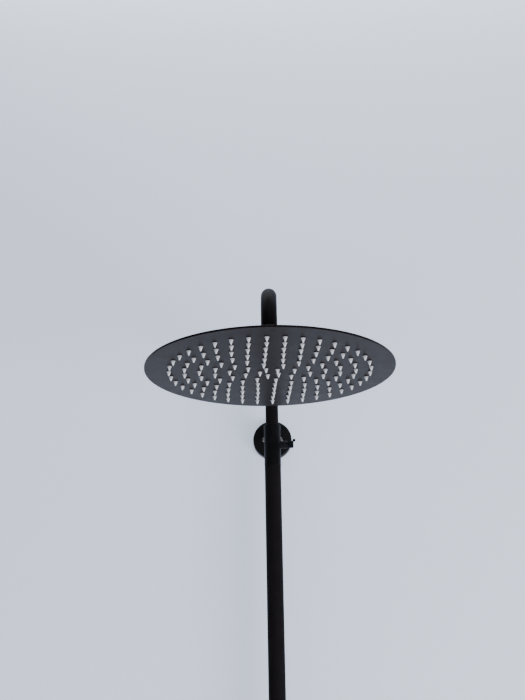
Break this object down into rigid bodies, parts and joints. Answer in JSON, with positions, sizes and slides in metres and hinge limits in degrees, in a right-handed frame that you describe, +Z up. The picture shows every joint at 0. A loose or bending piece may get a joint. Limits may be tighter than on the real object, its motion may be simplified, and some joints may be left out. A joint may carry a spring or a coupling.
{
  "type": "rainfall shower column",
  "caption": "Matt black telescopic shower column: a wall bracket with locking screw holds a riser, and a gooseneck arm carries a thin round rain head on a ball joint.",
  "frame": {"origin": "centre of the wall flange's back face, where it meets the wall", "axes": "+Z up along the riser, +Y into the wall, so the head hangs on the -Y side and the locking screw is at +X"},
  "size_m": [0.3, 0.578, 0.833],
  "materials": {
    "tube_black": "matt black powder coat",
    "head_black": "satin black powder coat",
    "hub_black": "matt black powder coat",
    "bracket_black": "matt black powder coat",
    "flange_black": "matt black powder coat",
    "knob_black": "satin black powder coat",
    "nut_black": "matt black powder coat",
    "nozzle_silicone": "pale grey moulded silicone",
    "screw_steel": "bright stainless steel",
    "screen_steel": "etched stainless steel",
    "ball_chrome": "polished chrome on brass",
    "fitting_brass": "turned brass",
    "bush_acetal": "natural acetal",
    "seal_rubber": "moulded rubber"
  },
  "bodies": {
    "riser": {"wall_flange": "flange_black", "wall_screw_left": "screw_steel", "wall_screw_right": "screw_steel", "bracket_arm": "bracket_black", "flange_grub_screw": "screw_steel", "bracket_sleeve": "bracket_black", "stop_ferrule": "bracket_black", "ferrule_seal": "seal_rubber", "clamp_collet": "bush_acetal", "guide_bush": "bush_acetal", "lower_tube": "tube_black", "tail_fitting": "fitting_brass", "inlet_washer": "seal_rubber"},
    "piston": {"guide_piston": "bush_acetal", "piston_seal_lower": "seal_rubber", "piston_seal_upper": "seal_rubber"},
    "gooseneck": {"gooseneck_tube": "tube_black", "arm_nipple": "fitting_brass", "ball_seal": "seal_rubber"},
    "ball_nut": {"ball_nut": "nut_black"},
    "seat_ring": {"seat_ring": "bush_acetal"},
    "ball": {"ball_stud": "ball_chrome"},
    "head": {"inlet_hub": "hub_black", "hub_gasket": "seal_rubber", "flow_restrictor": "bush_acetal", "filter_screen": "screen_steel", "stem_washer": "seal_rubber", "back_plate": "head_black", "nozzle_mat": "nozzle_silicone", "face_plate": "head_black"},
    "lock_pad": {"pressure_pad": "bush_acetal"},
    "lock_screw": {"thumb_screw": "knob_black", "lock_lever": "knob_black"},
    "union_nut": {"union_nut": "nut_black"}
  },
  "joints": [
    {"name": "riser_slide", "type": "slide", "parent": "riser", "child": "piston", "axis": [0, 0, 1], "range_m": [-0.012, 0.38]},
    {"name": "arm_swivel", "type": "hinge", "parent": "piston", "child": "gooseneck", "pos_m": [0, -0.055, 0], "axis": [0, 0, 1], "range_deg": [-60, 60]},
    {"name": "ball_nut_turn", "type": "hinge", "parent": "gooseneck", "child": "ball_nut", "pos_m": [0, -0.428, 0.016], "axis": [0, 0, 1], "continuous": true},
    {"name": "head_turn", "type": "hinge", "parent": "gooseneck", "child": "seat_ring", "pos_m": [0, -0.428, 0.013], "axis": [0, 0, 1], "continuous": true},
    {"name": "head_tilt", "type": "hinge", "parent": "seat_ring", "child": "ball", "pos_m": [0, -0.428, 0.013], "axis": [1, 0, 0], "range_deg": [-15, 15]},
    {"name": "head_spin", "type": "hinge", "parent": "ball", "child": "head", "pos_m": [0, -0.428, 0.013], "axis": [0, 0, 1], "continuous": true},
    {"name": "lock_pad_travel", "type": "slide", "parent": "riser", "child": "lock_pad", "axis": [1, 0, 0], "range_m": [0, 0.002]},
    {"name": "lock_screw_turn", "type": "hinge", "parent": "lock_pad", "child": "lock_screw", "pos_m": [0.028, -0.055, -0.0193], "axis": [1, 0, 0], "range_deg": [0, 720]},
    {"name": "union_nut_turn", "type": "hinge", "parent": "riser", "child": "union_nut", "pos_m": [0, -0.055, -0.714], "axis": [0, 0, 1], "continuous": true}
  ],
  "couplings": [
    {"joint": "lock_pad_travel", "follows": "lock_screw_turn", "m_per_rad": 0.00015915}
  ]
}
